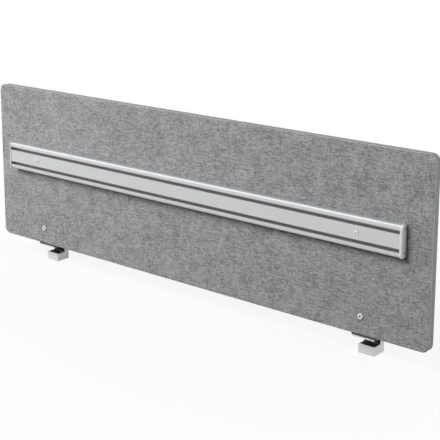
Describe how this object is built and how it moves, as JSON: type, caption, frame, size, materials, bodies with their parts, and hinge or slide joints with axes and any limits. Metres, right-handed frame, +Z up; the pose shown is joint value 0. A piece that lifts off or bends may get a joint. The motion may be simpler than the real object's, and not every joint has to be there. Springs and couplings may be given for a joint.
{
  "type": "acoustic desk divider screen",
  "caption": "Fabric-covered acoustic panel that clamps to a desk's rear edge, with an aluminium organiser rail across its front and a screw-jack clamp near each end.",
  "frame": {"origin": "on the desk top's upper rear edge, midway between the two clamps: z = 0 is the desk's upper face, y = 0 its rear edge", "axes": "+X along the screen, to the right as the user sees its front; +Y away from the user, past the desk's rear edge; +Z up"},
  "size_m": [1.6, 0.1082, 0.564],
  "materials": {
    "timber": "planed softwood, matt",
    "absorber_board": "pressed polyester fibre, matt",
    "wadding": "soft fleece, matt",
    "melange_fabric": "felted melange cloth in mixed greys",
    "band_fabric": "smooth woven edge cloth",
    "anodised_rail": "satin anodised, fine lengthwise lines",
    "cap_grey": "satin moulded plastic under silver-grey lacquer",
    "zinc_screw": "bright zinc plate",
    "plated_washer": "bright nickel plate",
    "brass_insert": "turned brass",
    "cast_bracket": "light grey powder coat",
    "shell_grey": "satin moulded plastic under silver-grey lacquer",
    "black_liner": "black, fine grain",
    "black_rubber": "black, matt",
    "steel_sleeve": "turned steel"
  },
  "bodies": {
    "root": {"edge_band": "band_fabric", "frame_bottom_rail": "timber", "frame_dowels": "timber", "frame_left_stile": "timber", "frame_right_stile": "timber", "frame_top_rail": "timber", "front_cover": "melange_fabric", "front_wadding": "wadding", "left_bolt_sleeve": "steel_sleeve", "left_cap_nut": "zinc_screw", "left_clamp_block": "timber", "left_clamp_bracket": "cast_bracket", "left_clamp_liner": "black_liner", "left_clamp_shell": "shell_grey", "left_cup_washer": "plated_washer", "left_foot_pad": "black_rubber", "left_jack_nut": "steel_sleeve", "left_packer": "black_rubber", "left_rail_cap": "cap_grey", "left_rear_washer": "zinc_screw", "left_shell_screws": "zinc_screw", "left_through_bolt": "zinc_screw", "lower_absorber": "absorber_board", "organiser_rail": "anodised_rail", "rail_batten": "timber", "rail_cap_screws": "zinc_screw", "rail_inserts": "brass_insert", "rail_screws": "zinc_screw", "rear_cover": "melange_fabric", "rear_wadding": "wadding", "right_bolt_sleeve": "steel_sleeve", "right_cap_nut": "zinc_screw", "right_clamp_block": "timber", "right_clamp_bracket": "cast_bracket", "right_clamp_liner": "black_liner", "right_clamp_shell": "shell_grey", "right_cup_washer": "plated_washer", "right_foot_pad": "black_rubber", "right_jack_nut": "steel_sleeve", "right_packer": "black_rubber", "right_rail_cap": "cap_grey", "right_rear_washer": "zinc_screw", "right_shell_screws": "zinc_screw", "right_through_bolt": "zinc_screw", "upper_absorber": "absorber_board"},
    "left_pad": {"left_pressure_pad": "black_rubber", "left_pressure_plate": "steel_sleeve"},
    "left_screw": {"left_jack_screw": "zinc_screw", "left_screw_clip": "steel_sleeve"},
    "right_pad": {"right_pressure_pad": "black_rubber", "right_pressure_plate": "steel_sleeve"},
    "right_screw": {"right_jack_screw": "zinc_screw", "right_screw_clip": "steel_sleeve"}
  },
  "joints": [
    {"name": "left_pad_slide", "type": "slide", "parent": "root", "child": "left_pad", "axis": [0, 0, 1], "range_m": [0, 0.008]},
    {"name": "left_screw_turn", "type": "hinge", "parent": "left_pad", "child": "left_screw", "pos_m": [-0.6025, -0.014, -0.045], "axis": [0, 0, 1], "range_deg": [0, 2304]},
    {"name": "right_pad_slide", "type": "slide", "parent": "root", "child": "right_pad", "axis": [0, 0, 1], "range_m": [0, 0.008]},
    {"name": "right_screw_turn", "type": "hinge", "parent": "right_pad", "child": "right_screw", "pos_m": [0.6025, -0.014, -0.045], "axis": [0, 0, 1], "range_deg": [0, 2304]}
  ],
  "couplings": [
    {"joint": "left_screw_turn", "follows": "left_pad_slide", "rad_per_m": 5026.5},
    {"joint": "right_screw_turn", "follows": "right_pad_slide", "rad_per_m": 5026.5}
  ]
}
